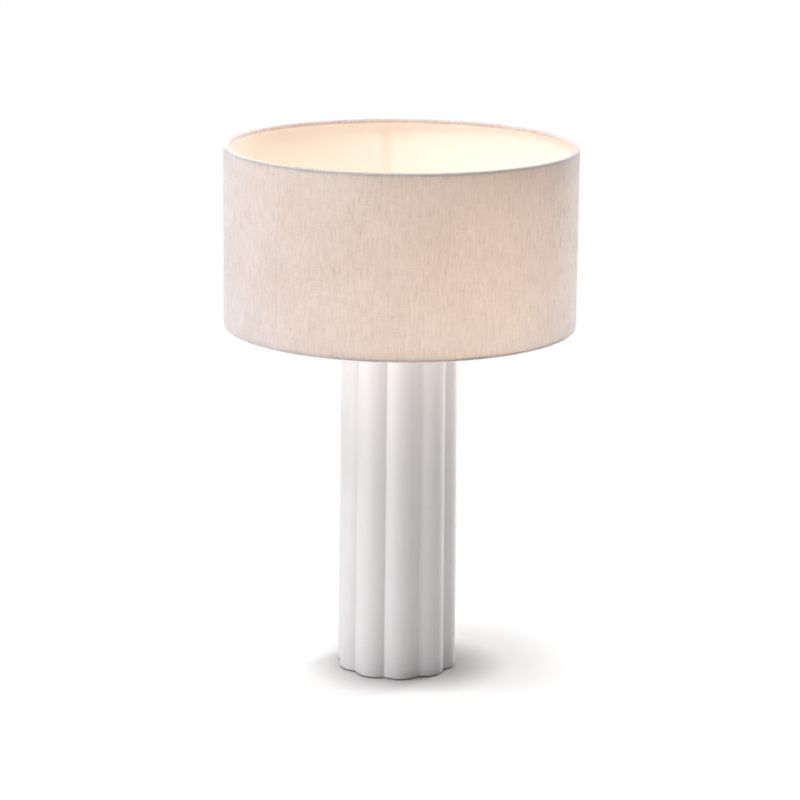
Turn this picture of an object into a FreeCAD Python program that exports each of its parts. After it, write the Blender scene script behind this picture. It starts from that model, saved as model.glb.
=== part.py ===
import FreeCAD, Part
import math
import os

# Table lamp: a linen drum shade on a lobed ceramic column, in millimetres.
# The origin is the middle of the foot on the table. +Z is up and the cord hole faces +Y.

# Whole lamp
lamp_height = 610.0
shade_radius = 200.0
shade_height = 206.0
cut_overrun = 2.0
body_gap = 0.2

# Ceramic column, measured to the crests of its lobes
column_foot_radius = 69.4
column_top_radius = 66.5
column_inside_shade = 10.0
lobe_count = 10
lobe_radius_share = 0.345
valley_radius = 1.6
ceramic_wall = 6.0
ceramic_top_thickness = 8.0
foot_rounding = 1.6
shoulder_rounding = 4.0
rounding_steps = 4
tube_hole_clearance = 0.6

# Felt pad under the foot
felt_thickness = 1.5
felt_inset = 2.4

# Grommet in the cord hole
grommet_height = 18.0
grommet_bore_radius = 3.5
grommet_neck_radius = 5.8
grommet_flange_radius = 8.2
grommet_flange_thickness = 1.8
grommet_fit = 0.2
grommet_edge_rounding = 0.6

# Threaded tube and what clamps it in the column's top
tube_radius = 4.95
tube_bore_radius = 3.6
tube_below_nut = 4.0
tube_chamfer = 0.5
tube_fit = 0.1
nut_across_flats = 14.0
nut_thickness = 4.0
lock_washer_radius = 8.5
lock_washer_thickness = 1.2
lock_washer_slot = 2.0
steel_washer_radius = 14.0
steel_washer_thickness = 1.5
rubber_washer_radius = 15.0
rubber_washer_thickness = 2.0

# Top plate and neck collar
plate_radius = 29.0
plate_thickness = 2.5
plate_rounding = 1.0
collar_radius = 8.0
collar_height = 10.5
collar_rounding = 0.8

# Lampholder cap
entry_radius = 9.0
entry_height = 5.5
entry_boss_inside = 1.7
entry_stop = 0.5
cap_set_in = 0.2
cap_height = 26.0
cap_shoulder_height = 11.0
cap_wall = 2.3
cap_ledge_rise = 1.0
cap_ledge_width = 1.8
cap_edge_rounding = 3.0
lock_screw_radius = 1.5
lock_screw_head_radius = 2.4
lock_screw_head_thickness = 1.6
lock_screw_fit = 0.1

# Lampholder barrel
barrel_thread_depth = 0.7
barrel_thread_pitch = 2.0
barrel_shoulder_step = 0.8
barrel_shoulder_height = 2.0
barrel_wall = 2.4
barrel_air = 2.35
barrel_spigot_length = 4.7
barrel_spigot_wall = 1.9
barrel_lip_thickness = 1.8
barrel_lip_fit = 1.1

# Porcelain insert, contacts and screws
insert_fit = 0.3
insert_below_spigot = 0.7
insert_below_rim = 1.0
insert_boss_fit = 1.0
shell_metal = 0.35
shell_bulb_fit = 0.3
shell_tab_width = 5.0
shell_flange_fit = 0.8
contact_metal = 0.6
contact_width = 5.0
contact_nose = 2.0
contact_rise = 6.6
terminal_offset = 6.5
terminal_screw_radius = 1.5
terminal_head_radius = 2.7
terminal_head_thickness = 2.0
terminal_block_width = 6.0
terminal_block_length = 8.0
terminal_block_height = 6.0
terminal_wire_radius = 1.4
terminal_fit = 0.15

# Shade rings on the lampholder
shade_ring_radius = 27.0
shade_ring_height = 6.0
shade_ring_fit = 0.3
shade_ring_rounding = 0.8
grip_count = 24
grip_radius = 1.6

# Bulb, measured up from its tip
bulb_thread_radius = 13.1
bulb_thread_pitch = 3.63
bulb_thread_depth = 1.0
bulb_thread_low = 7.0
bulb_collar_length = 4.5
bulb_cap_length = 27.0
bulb_cap_metal = 0.35
bulb_cap_lip_height = 5.6
bulb_insulator_low = 1.1
bulb_insulator_height = 6.6
bulb_insulator_wall = 2.4
bulb_tip_radius = 4.7
bulb_tip_thickness = 1.0
bulb_stem_radius = 1.0
bulb_fit = 0.15
globe_radius = 30.0
globe_wall = 1.2
globe_edge_step = 0.3
housing_top_height = 58.0
housing_top_radius = 24.4
housing_waist_rise = 6.0
housing_waist_radius = 15.4
housing_waist_rounding = 8.0
housing_wall = 1.6
housing_neck_depth = 3.0
board_thickness = 1.6
board_rim = 1.6
board_below_globe = 2.4
chip_count = 12
chip_size = 3.2
chip_thickness = 0.8
chip_circle_radius = 14.0
driver_thickness = 1.2
driver_low = 11.0
driver_below_board = 8.0
capacitor_radius = 4.2
capacitor_length = 13.0
capacitor_below_edge = 3.0
bulb_lift_spare = 12.0

# Shade frame
wire_radius = 1.75
hub_fit = 0.7
hub_past_ring = 8.0
hub_thickness = 1.5
hub_rounding = 0.4
spoke_count = 3
spoke_first_angle = 90.0
spoke_weld_gap = 0.1
spoke_end_past_ring = 0.75
spoke_flat_outside_hub = 3.0
spoke_bend_radius = 14.0
spoke_end_clearance = 1.5

# Linen and lining
linen_thickness = 0.65
lining_thickness = 0.55
layer_gap = 0.2
hem_past_wire = 0.25

# Heights of the stacked pieces, from the table up
shade_low = lamp_height - shade_height
column_low = felt_thickness
column_high = shade_low + column_inside_shade
tube_seat = column_high - ceramic_top_thickness
rubber_washer_low = tube_seat - rubber_washer_thickness
steel_washer_low = rubber_washer_low - steel_washer_thickness
lock_washer_low = steel_washer_low - lock_washer_thickness
nut_low = lock_washer_low - nut_thickness
plate_high = column_high + plate_thickness
holder_low = plate_high + collar_height
entry_high = holder_low + entry_height + cap_wall + entry_boss_inside
barrel_low = holder_low + cap_height
insert_low = holder_low + cap_shoulder_height + cap_ledge_rise
insert_high = barrel_low - insert_below_rim
bulb_low = insert_high + contact_rise + body_gap
bulb_board_low = bulb_low + housing_top_height - board_below_globe - board_thickness
barrel_high = bulb_low + bulb_cap_length + body_gap
lower_ring_low = barrel_low + barrel_shoulder_height + body_gap
hub_low = lower_ring_low + shade_ring_height + body_gap
upper_ring_low = hub_low + hub_thickness + body_gap

# Radii from the bulb's thread out to the shade's hub
shell_inside = bulb_thread_radius + shell_bulb_fit
shell_outside = shell_inside + bulb_thread_depth + shell_metal
barrel_bore = shell_outside + barrel_air
barrel_thread_radius = barrel_bore + barrel_wall
cap_radius = barrel_thread_radius - cap_set_in
cap_inside = cap_radius - cap_wall
spigot_radius = cap_inside - tube_fit
spigot_inside = spigot_radius - barrel_spigot_wall
barrel_shoulder_radius = barrel_thread_radius + barrel_shoulder_step
hub_bore_radius = barrel_shoulder_radius + hub_fit
hub_radius = shade_ring_radius + hub_past_ring
bulb_cap_inside = bulb_thread_radius - bulb_thread_depth - bulb_cap_metal

# Radii and heights of the stacked layers at the shade's rims
lining_radius = shade_radius - linen_thickness - layer_gap
wire_ring_radius = lining_radius - lining_thickness - layer_gap - wire_radius
hem_inner_radius = wire_ring_radius - wire_radius - layer_gap - linen_thickness
hem_rounding = wire_radius + layer_gap + linen_thickness
wire_ring_rise = linen_thickness + layer_gap + wire_radius
hem_height = wire_ring_rise + wire_radius + hem_past_wire

# Shares of one thread pitch at which a ring thread leaves and reaches its crest
thread_shares = (0.15, 0.4, 0.6, 0.85)

up = FreeCAD.Vector(0, 0, 1)
back = FreeCAD.Vector(0, 1, 0)


def at(x, y, z):
    """A point."""
    return FreeCAD.Vector(x, y, z)


def rounded_wire(corners):
    """A closed outline in the XZ plane from (x, z, rounding) corners."""
    points = [at(x, 0, z) for x, z, rounding in corners]
    edges = []
    last = None
    first = None
    for i, (x, z, rounding) in enumerate(corners):
        here = points[i]
        if rounding > 0:
            before = (points[i - 1] - here).normalize()
            after = (points[(i + 1) % len(points)] - here).normalize()
            half_angle = before.getAngle(after) / 2
            reach = rounding / math.tan(half_angle)
            start = here + before * reach
            end = here + after * reach
            inward = (before + after).normalize()
            middle = here + inward * (rounding / math.sin(half_angle) - rounding)
            arc = Part.Arc(start, middle, end).toShape()
        else:
            start = end = here
            arc = None
        if last is not None:
            edges.append(Part.makeLine(last, start))
        else:
            first = start
        if arc is not None:
            edges.append(arc)
        last = end
    edges.append(Part.makeLine(last, first))
    return Part.Wire(edges)


def turned(corners):
    """A solid of revolution about Z from (radius, height, rounding) corners."""
    return Part.Face(rounded_wire(corners)).revolve(at(0, 0, 0), up, 360)


def washer(inner, outer, low, thickness, rounding=0):
    """A flat ring whose outer edges may be rounded."""
    return turned([
        (inner, low, 0),
        (outer, low, rounding),
        (outer, low + thickness, rounding),
        (inner, low + thickness, 0),
    ])


def column_scale(height):
    """How wide the column is at a height, as a share of its foot."""
    climb = (height - column_low) / (column_high - column_low)
    return 1 + climb * (column_top_radius / column_foot_radius - 1)


def lobed_wire(height, inset):
    """The column's outline at a height, moved inwards by an inset."""
    scale = column_scale(height)
    lobe = column_foot_radius * lobe_radius_share * scale
    centre = column_foot_radius * scale - lobe
    half = math.pi / lobe_count
    hollow = valley_radius * scale
    reach = lobe + hollow
    side = centre * math.sin(half)
    hollow_centre = centre * math.cos(half) + math.sqrt(reach ** 2 - side ** 2)
    lobe -= inset
    hollow += inset

    def spot(radius, angle):
        return at(radius * math.cos(angle), radius * math.sin(angle), height)

    edges = []
    for k in range(lobe_count):
        crest = -math.pi / 2 + 2 * half * k
        middle = spot(centre, crest)
        before = spot(hollow_centre, crest - half)
        after = spot(hollow_centre, crest + half)
        following = spot(centre, crest + 2 * half)
        start = middle + (before - middle).normalize() * lobe
        end = middle + (after - middle).normalize() * lobe
        next_start = following + (after - following).normalize() * lobe
        edges.append(Part.Arc(start, spot(centre + lobe, crest), end).toShape())
        bottom = spot(hollow_centre - hollow, crest + half)
        edges.append(Part.Arc(end, bottom, next_start).toShape())
    return Part.Wire(edges)


def edge_wave(middle_radius, half_depth, low, pitch, count):
    """A rolled thread's outline: arcs that swing out and in, once in each pitch."""
    edges = []
    for k in range(2 * count):
        start = low + k * pitch / 2
        swing = half_depth if k % 2 == 0 else -half_depth
        edges.append(Part.Arc(
            at(middle_radius, 0, start),
            at(middle_radius + swing, 0, start + pitch / 4),
            at(middle_radius, 0, start + pitch / 2)).toShape())
    return edges


def polyline(points):
    """Straight edges through points (radius, height) in the XZ plane."""
    spots = [at(x, 0, z) for x, z in points]
    return [Part.makeLine(a, b) for a, b in zip(spots, spots[1:])]


# Ceramic column: one hollow casting, open below, with a flat seat for the grommet
def make_column_body():
    outside = []
    for step in range(rounding_steps):
        angle = math.pi / 2 * step / (rounding_steps - 1)
        rise = foot_rounding * (1 - math.cos(angle))
        outside.append(lobed_wire(column_low + rise, foot_rounding * (1 - math.sin(angle))))
    for step in range(rounding_steps):
        angle = math.pi / 2 * step / (rounding_steps - 1)
        drop = shoulder_rounding * (1 - math.sin(angle))
        inset = shoulder_rounding * (1 - math.cos(angle))
        outside.append(lobed_wire(column_high - drop, inset))
    body = Part.makeLoft(outside, True, True)
    cavity = [lobed_wire(z, ceramic_wall) for z in (column_low - cut_overrun, tube_seat)]
    body = body.cut(Part.makeLoft(cavity, True, True))
    tube_hole = Part.makeCylinder(
        tube_radius + tube_hole_clearance, ceramic_top_thickness + 2 * cut_overrun,
        at(0, 0, tube_seat - cut_overrun))
    cord_hole = Part.makeCylinder(
        grommet_neck_radius + grommet_fit, column_foot_radius, at(0, 0, grommet_height), back)
    pocket = Part.makeCylinder(
        grommet_flange_radius + grommet_fit, column_foot_radius,
        at(0, grommet_seat(), grommet_height), back)
    return body.cut([tube_hole, cord_hole, pocket])


def grommet_seat():
    """How far back the pocket's flat floor lies: the lobe's curve just clears it."""
    lobe = column_foot_radius * lobe_radius_share * column_scale(grommet_height)
    rim = grommet_flange_radius + grommet_fit
    sag = lobe - math.sqrt(lobe ** 2 - rim ** 2)
    return column_foot_radius * column_scale(grommet_height) - sag - grommet_fit


def grommet_inner_seat():
    """How far back the inner flange's face lies, clear of the curved inside wall."""
    scale = column_scale(grommet_height)
    lobe = column_foot_radius * lobe_radius_share * scale - ceramic_wall
    sag = lobe - math.sqrt(lobe ** 2 - grommet_flange_radius ** 2)
    return column_foot_radius * scale - ceramic_wall - sag - grommet_fit


def make_felt_pad():
    return Part.Face(lobed_wire(column_low, felt_inset)).extrude(up * -felt_thickness)


# Grommet: a rubber spool, turned about the cord's axis and pushed into the hole
def make_cord_grommet():
    inner = grommet_inner_seat()
    outer = grommet_seat()
    spool = turned([
        (grommet_bore_radius, inner - grommet_flange_thickness, grommet_edge_rounding),
        (grommet_flange_radius, inner - grommet_flange_thickness, grommet_edge_rounding),
        (grommet_flange_radius, inner, 0),
        (grommet_neck_radius, inner, 0),
        (grommet_neck_radius, outer, 0),
        (grommet_flange_radius, outer, 0),
        (grommet_flange_radius, outer + grommet_flange_thickness, grommet_edge_rounding),
        (grommet_bore_radius, outer + grommet_flange_thickness, grommet_edge_rounding),
    ])
    spool.rotate(at(0, 0, 0), at(1, 0, 0), -90)
    spool.translate(at(0, 0, grommet_height))
    return spool


# Threaded tube with the nut and washers that draw it down through the column's top
def make_threaded_tube():
    low = nut_low - tube_below_nut
    high = entry_high - entry_stop
    return turned([
        (tube_bore_radius, low, 0),
        (tube_radius - tube_chamfer, low, 0),
        (tube_radius, low + tube_chamfer, 0),
        (tube_radius, high - tube_chamfer, 0),
        (tube_radius - tube_chamfer, high, 0),
        (tube_bore_radius, high, 0),
    ])


def make_hex_nut():
    corner = nut_across_flats / math.sqrt(3)
    ring = [at(corner * math.cos(k * math.pi / 3), corner * math.sin(k * math.pi / 3), nut_low)
            for k in range(7)]
    block = Part.Face(Part.makePolygon(ring)).extrude(up * nut_thickness)
    bore = Part.makeCylinder(tube_radius + tube_fit, nut_thickness + 2 * cut_overrun,
                             at(0, 0, nut_low - cut_overrun))
    return block.cut(bore)


def make_lock_washer():
    ring = washer(tube_radius + tube_fit, lock_washer_radius, lock_washer_low, lock_washer_thickness)
    slot = Part.makeBox(lock_washer_radius + cut_overrun, lock_washer_slot,
                        lock_washer_thickness + 2 * cut_overrun,
                        at(0, -lock_washer_slot / 2, lock_washer_low - cut_overrun))
    return ring.cut(slot)


def make_steel_washer():
    return washer(tube_radius + tube_fit, steel_washer_radius, steel_washer_low,
                  steel_washer_thickness)


def make_rubber_washer():
    return washer(tube_radius + tube_fit, rubber_washer_radius, rubber_washer_low,
                  rubber_washer_thickness)


# Top plate and neck collar, between the column and the lampholder
def make_top_plate():
    return turned([
        (tube_radius + tube_fit, column_high, 0),
        (plate_radius, column_high, 0),
        (plate_radius, plate_high, plate_rounding),
        (tube_radius + tube_fit, plate_high, 0),
    ])


def make_neck_collar():
    return washer(tube_radius + tube_fit, collar_radius, plate_high, collar_height, collar_rounding)


# Lampholder cap: a cup with a threaded entry boss and a lock screw through its side
def make_holder_cap():
    cup = turned([
        (tube_radius + tube_fit, holder_low, 0),
        (entry_radius, holder_low, 0),
        (entry_radius, holder_low + entry_height, 0),
        (cap_radius, holder_low + cap_shoulder_height, cap_edge_rounding),
        (cap_radius, barrel_low, 0),
        (cap_inside, barrel_low, 0),
        (cap_inside, insert_low, 0),
        (cap_inside - cap_ledge_width, insert_low, 0),
        (entry_radius, holder_low + entry_height + cap_wall, 0),
        (entry_radius, entry_high, 0),
        (tube_radius + tube_fit, entry_high, 0),
    ])
    tapping = Part.makeCylinder(lock_screw_radius + lock_screw_fit, entry_radius,
                                at(0, tube_radius, holder_low + entry_height / 2), back)
    return cup.cut(tapping)


def make_entry_lock_screw():
    height = holder_low + entry_height / 2
    tip = tube_radius + tube_fit
    shank = Part.makeCylinder(lock_screw_radius, entry_radius - tip, at(0, tip, height), back)
    head = Part.makeCylinder(lock_screw_head_radius, lock_screw_head_thickness,
                             at(0, entry_radius, height), back)
    slot_width = lock_screw_radius / 2
    slot = Part.makeBox(
        2 * lock_screw_head_radius, lock_screw_head_thickness, slot_width,
        at(-lock_screw_head_radius, entry_radius + lock_screw_head_thickness / 2,
           height - slot_width / 2))
    return shank.fuse(head).cut(slot)


# Lampholder barrel: threaded outside for the shade rings, with a lip round the bulb's cap
def make_holder_barrel():
    thread_low = barrel_low + barrel_shoulder_height
    turns = int((barrel_high - thread_low) / barrel_thread_pitch)
    valley = barrel_thread_radius - barrel_thread_depth
    radii = (valley, barrel_thread_radius, barrel_thread_radius, valley)
    thread = [(radius, thread_low + (k + share) * barrel_thread_pitch, 0)
              for k in range(turns) for radius, share in zip(radii, thread_shares)]
    lip = bulb_thread_radius + barrel_lip_fit
    return turned([
        (spigot_inside, barrel_low - barrel_spigot_length, 0),
        (spigot_radius, barrel_low - barrel_spigot_length, 0),
        (spigot_radius, barrel_low, 0),
        (barrel_shoulder_radius, barrel_low, 0),
        (barrel_shoulder_radius, thread_low, 0),
        (valley, thread_low, 0),
        *thread,
        (valley, barrel_high, 0),
        (lip, barrel_high, 0),
        (lip, barrel_high - barrel_lip_thickness, 0),
        (barrel_bore, barrel_high - barrel_lip_thickness, 0),
        (barrel_bore, thread_low, 0),
        (spigot_inside, thread_low, 0),
    ])


# Porcelain insert with a pocket under each terminal
def make_porcelain_insert():
    outer = cap_inside - insert_fit
    boss = spigot_inside - insert_boss_fit
    step = barrel_low - barrel_spigot_length - insert_below_spigot
    disc = turned([
        (0, insert_low, 0),
        (outer, insert_low, 0),
        (outer, step, 0),
        (boss, step, 0),
        (boss, insert_high, 0),
        (0, insert_high, 0),
    ])
    cuts = []
    for side in (-1, 1):
        x = side * terminal_offset
        width = terminal_block_width + 2 * terminal_fit
        length = terminal_block_length + 2 * terminal_fit
        cuts.append(Part.makeBox(
            width, length, terminal_block_height + cut_overrun,
            at(x - width / 2, -length / 2, insert_low - cut_overrun)))
        cuts.append(Part.makeCylinder(
            terminal_screw_radius + terminal_fit, insert_high - insert_low,
            at(x, 0, insert_low + terminal_block_height / 2)))
    return disc.cut(cuts)


# Screw shell: rolled metal that takes the bulb's cap, with a tab to its terminal
def make_screw_shell():
    half_depth = bulb_thread_depth / 2
    inside = shell_inside + half_depth
    outside = inside + shell_metal
    wave_low = insert_high + shell_metal
    top = barrel_high - barrel_lip_thickness - body_gap
    waves = int((top - wave_low) / bulb_thread_pitch)
    wave_high = wave_low + waves * bulb_thread_pitch
    bore = terminal_offset + terminal_head_radius + shell_flange_fit
    edges = edge_wave(outside, half_depth, wave_low, bulb_thread_pitch, waves)
    edges += polyline([(outside, wave_high), (outside, top), (inside, top), (inside, wave_high)])
    edges += edge_wave(inside, half_depth, wave_low, bulb_thread_pitch, waves)
    edges += polyline([
        (inside, wave_low), (bore, wave_low), (bore, insert_high), (outside, insert_high),
        (outside, wave_low)])
    wire = Part.Wire(Part.__sortEdges__(edges))
    shell = Part.Face(wire).revolve(at(0, 0, 0), up, 360)
    tab_end = terminal_offset - terminal_head_radius
    tab = Part.makeBox(
        shell_inside - tab_end, shell_tab_width, shell_metal,
        at(-shell_inside, -shell_tab_width / 2, insert_high))
    hole = Part.makeCylinder(
        terminal_screw_radius + terminal_fit, shell_metal + 2 * cut_overrun,
        at(-terminal_offset, 0, insert_high - cut_overrun))
    return shell.fuse(tab.cut(hole)).removeSplitter()


# Centre contact: a bent spring strip that presses on the bulb's tip
def make_centre_contact():
    top = insert_high + contact_rise
    end = terminal_offset + terminal_head_radius
    foot = terminal_offset - terminal_head_radius
    nose = contact_nose
    metal = contact_metal
    side = [
        (end, insert_high), (end, insert_high + metal), (foot, insert_high + metal),
        (nose, top), (-nose, top), (-nose, top - metal), (nose - metal, top - metal),
        (foot - metal, insert_high), (end, insert_high)]
    spots = [at(x, -contact_width / 2, z) for x, z in side]
    strip = Part.Face(Part.makePolygon(spots)).extrude(back * contact_width)
    hole = Part.makeCylinder(
        terminal_screw_radius + terminal_fit, metal + 2 * cut_overrun,
        at(terminal_offset, 0, insert_high - cut_overrun))
    return strip.cut(hole)


def terminal_seat(side):
    """The height that a terminal screw's head sits at: on the tab or on the strip."""
    return insert_high + (contact_metal if side > 0 else shell_metal)


def make_terminal_screws():
    screws = []
    for side in (-1, 1):
        x = side * terminal_offset
        seat = terminal_seat(side)
        foot = insert_low + terminal_block_height
        shank = Part.makeCylinder(terminal_screw_radius, seat - foot, at(x, 0, foot))
        head = Part.makeCylinder(terminal_head_radius, terminal_head_thickness, at(x, 0, seat))
        slot = Part.makeBox(
            2 * terminal_head_radius, terminal_screw_radius / 2, terminal_head_thickness,
            at(x - terminal_head_radius, -terminal_screw_radius / 4,
               seat + terminal_head_thickness / 2))
        screws.append(shank.fuse(head).cut(slot))
    return Part.makeCompound(screws)


def make_terminal_blocks():
    blocks = []
    for side in (-1, 1):
        x = side * terminal_offset
        block = Part.makeBox(
            terminal_block_width, terminal_block_length, terminal_block_height,
            at(x - terminal_block_width / 2, -terminal_block_length / 2, insert_low))
        wire_hole = Part.makeCylinder(
            terminal_wire_radius, terminal_block_height,
            at(x, 0, insert_low - terminal_block_height / 2))
        blocks.append(block.cut(wire_hole))
    return Part.makeCompound(blocks)


# Shade rings: two threaded rings with grip scallops, under and over the hub
def make_shade_ring(low):
    ring = washer(barrel_thread_radius + shade_ring_fit, shade_ring_radius, low,
                  shade_ring_height, shade_ring_rounding)
    scallops = []
    for k in range(grip_count):
        angle = 2 * math.pi * k / grip_count
        x = shade_ring_radius * math.cos(angle)
        y = shade_ring_radius * math.sin(angle)
        scallops.append(Part.makeCylinder(
            grip_radius, shade_ring_height + 2 * cut_overrun, at(x, y, low - cut_overrun)))
    return ring.cut(scallops)


def make_lower_shade_ring():
    return make_shade_ring(lower_ring_low)


def make_upper_shade_ring():
    return make_shade_ring(upper_ring_low)


# Bulb, from its tip up
def make_bulb_tip_contact():
    return turned([
        (0, bulb_low, 0),
        (bulb_tip_radius, bulb_low, bulb_tip_thickness / 2),
        (bulb_tip_radius, bulb_low + bulb_tip_thickness, 0),
        (bulb_stem_radius, bulb_low + bulb_tip_thickness, 0),
        (bulb_stem_radius, bulb_low + bulb_insulator_height, 0),
        (0, bulb_low + bulb_insulator_height, 0),
    ])


def make_bulb_insulator():
    low = bulb_low + bulb_insulator_low
    high = bulb_low + bulb_insulator_height
    shoulder = bulb_low + bulb_cap_lip_height - bulb_fit
    bore = bulb_stem_radius + bulb_fit
    outer = bulb_cap_inside - bulb_fit
    return turned([
        (bore, low, 0),
        (bulb_tip_radius, low, 0),
        (outer, shoulder, 0),
        (outer, high, 0),
        (outer - bulb_insulator_wall, high, 0),
        (bore, low + bulb_insulator_wall, 0),
    ])


def make_bulb_screw_cap():
    half_depth = bulb_thread_depth / 2
    outside = bulb_thread_radius - half_depth
    inside = outside - bulb_cap_metal
    turns = int((bulb_cap_length - bulb_thread_low - bulb_collar_length) / bulb_thread_pitch)
    wave_low = bulb_low + bulb_thread_low
    wave_high = wave_low + turns * bulb_thread_pitch
    top = bulb_low + bulb_cap_length
    lip = bulb_low + bulb_cap_lip_height
    collar = bulb_thread_radius
    edges = edge_wave(outside, half_depth, wave_low, bulb_thread_pitch, turns)
    edges += polyline([
        (outside, wave_high), (collar, wave_high + half_depth), (collar, top),
        (collar - bulb_cap_metal, top), (collar - bulb_cap_metal, wave_high + half_depth),
        (inside, wave_high)])
    edges += edge_wave(inside, half_depth, wave_low, bulb_thread_pitch, turns)
    edges += polyline([
        (inside, wave_low), (bulb_cap_inside, wave_low - half_depth), (bulb_cap_inside, lip),
        (bulb_cap_inside + bulb_cap_metal, lip), (outside, wave_low)])
    wire = Part.Wire(Part.__sortEdges__(edges))
    return Part.Face(wire).revolve(at(0, 0, 0), up, 360)


def make_bulb_housing():
    neck = bulb_thread_radius - bulb_cap_metal - bulb_fit
    seat = bulb_low + bulb_cap_length
    waist = seat + housing_waist_rise
    rim = bulb_low + housing_top_height
    ledge = bulb_board_low
    below = ledge - board_below_globe
    board = housing_top_radius - housing_wall
    return turned([
        (neck - housing_wall / 2, seat - housing_neck_depth, 0),
        (neck, seat - housing_neck_depth, 0),
        (neck, seat, 0),
        (bulb_thread_radius, seat, 0),
        (housing_waist_radius, waist, housing_waist_rounding),
        (housing_top_radius, ledge, 0),
        (housing_top_radius, rim, 0),
        (board, rim, 0),
        (board, ledge, 0),
        (board - board_rim, ledge, 0),
        (board - board_rim, below, 0),
        (housing_waist_radius - housing_wall, waist, 0),
        (neck - housing_wall / 2, seat, 0),
    ])


def make_bulb_board():
    return Part.makeCylinder(housing_top_radius - housing_wall - bulb_fit, board_thickness,
                             at(0, 0, bulb_board_low))


def make_bulb_chips():
    low = bulb_board_low + board_thickness
    chips = []
    for k in range(chip_count):
        chip = Part.makeBox(chip_size, chip_size, chip_thickness,
                            at(chip_circle_radius - chip_size / 2, -chip_size / 2, low))
        chip.rotate(at(0, 0, 0), up, 360 * k / chip_count)
        chips.append(chip)
    return Part.makeCompound(chips)


def make_bulb_driver_board():
    half_width = math.sqrt((bulb_cap_inside - bulb_fit) ** 2 - (driver_thickness / 2) ** 2)
    low = bulb_low + driver_low
    return Part.makeBox(
        2 * half_width, driver_thickness, bulb_board_low - driver_below_board - low,
        at(-half_width, -driver_thickness / 2, low))


def make_bulb_driver_parts():
    front = driver_thickness / 2
    top = bulb_board_low - driver_below_board - capacitor_below_edge
    low = top - capacitor_length
    capacitor = Part.makeCylinder(
        capacitor_radius, capacitor_length, at(0, -front - capacitor_radius, low))
    coil = Part.makeBox(
        2 * capacitor_radius, capacitor_radius, capacitor_length / 2,
        at(-capacitor_radius, front, low))
    return Part.makeCompound([capacitor, coil])


def make_bulb_globe():
    seat = bulb_low + housing_top_height
    edge_radius = housing_top_radius - globe_edge_step
    centre = seat + math.sqrt(globe_radius ** 2 - edge_radius ** 2)
    lip_low = bulb_board_low + board_thickness
    lip = housing_top_radius - housing_wall - bulb_fit
    lip_inside = lip - globe_wall
    inner = globe_radius - globe_wall
    join = centre - math.sqrt(inner ** 2 - lip_inside ** 2)
    slant = math.sqrt(0.5)
    edges = [
        Part.Arc(at(edge_radius, 0, seat), at(globe_radius * slant, 0, centre + globe_radius * slant),
                 at(0, 0, centre + globe_radius)).toShape(),
        Part.makeLine(at(0, 0, centre + globe_radius), at(0, 0, centre + inner)),
        Part.Arc(at(0, 0, centre + inner), at(inner * slant, 0, centre + inner * slant),
                 at(lip_inside, 0, join)).toShape(),
    ]
    edges += polyline([
        (lip_inside, join), (lip_inside, lip_low), (lip, lip_low), (lip, seat),
        (edge_radius, seat)])
    return Part.Face(Part.Wire(edges)).revolve(at(0, 0, 0), up, 360)


# Shade frame: wire rings in the hems, a stamped hub and bent spokes
def make_top_wire_ring():
    return Part.makeTorus(wire_ring_radius, wire_radius, at(0, 0, lamp_height - wire_ring_rise))


def make_bottom_wire_ring():
    return Part.makeTorus(wire_ring_radius, wire_radius, at(0, 0, shade_low + wire_ring_rise))


def make_shade_hub():
    return washer(hub_bore_radius, hub_radius, hub_low, hub_thickness, hub_rounding)


def make_shade_spokes():
    high = hub_low - spoke_weld_gap - wire_radius
    low = shade_low + wire_ring_rise + 2 * wire_radius + spoke_weld_gap
    outer = at(wire_ring_radius + spoke_end_past_ring, 0, low)
    bend = at(hub_radius + spoke_flat_outside_hub, 0, high)
    inner = at(shade_ring_radius + spoke_end_clearance, 0, high)
    to_outer = (outer - bend).normalize()
    to_inner = (inner - bend).normalize()
    half_angle = to_outer.getAngle(to_inner) / 2
    reach = spoke_bend_radius / math.tan(half_angle)
    start = bend + to_outer * reach
    end = bend + to_inner * reach
    inward = (to_outer + to_inner).normalize()
    middle = bend + inward * (spoke_bend_radius / math.sin(half_angle) - spoke_bend_radius)
    path = Part.Wire([
        Part.makeLine(outer, start),
        Part.Arc(start, middle, end).toShape(),
        Part.makeLine(end, inner),
    ])
    section = Part.Wire(Part.makeCircle(wire_radius, outer, to_outer))
    spokes = []
    for k in range(spoke_count):
        spoke = path.makePipeShell([section], True, False)
        spoke.rotate(at(0, 0, 0), up, spoke_first_angle + 360 * k / spoke_count)
        spokes.append(spoke)
    return Part.makeCompound(spokes)


# Linen cover: one skin turned over both rims and hooked round the wire rings
def make_shade_linen():
    skin = linen_thickness
    inner_rounding = hem_rounding - skin
    low = shade_low
    high = lamp_height
    return turned([
        (hem_inner_radius, low + hem_height, 0),
        (hem_inner_radius, low, hem_rounding),
        (shade_radius, low, hem_rounding),
        (shade_radius, high, hem_rounding),
        (hem_inner_radius, high, hem_rounding),
        (hem_inner_radius, high - hem_height, 0),
        (hem_inner_radius + skin, high - hem_height, 0),
        (hem_inner_radius + skin, high - skin, inner_rounding),
        (shade_radius - skin, high - skin, inner_rounding),
        (shade_radius - skin, low + skin, inner_rounding),
        (hem_inner_radius + skin, low + skin, inner_rounding),
        (hem_inner_radius + skin, low + hem_height, 0),
    ])


def make_shade_lining():
    low = shade_low + wire_ring_rise
    return washer(lining_radius - lining_thickness, lining_radius, low,
                  shade_height - 2 * wire_ring_rise)


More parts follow.
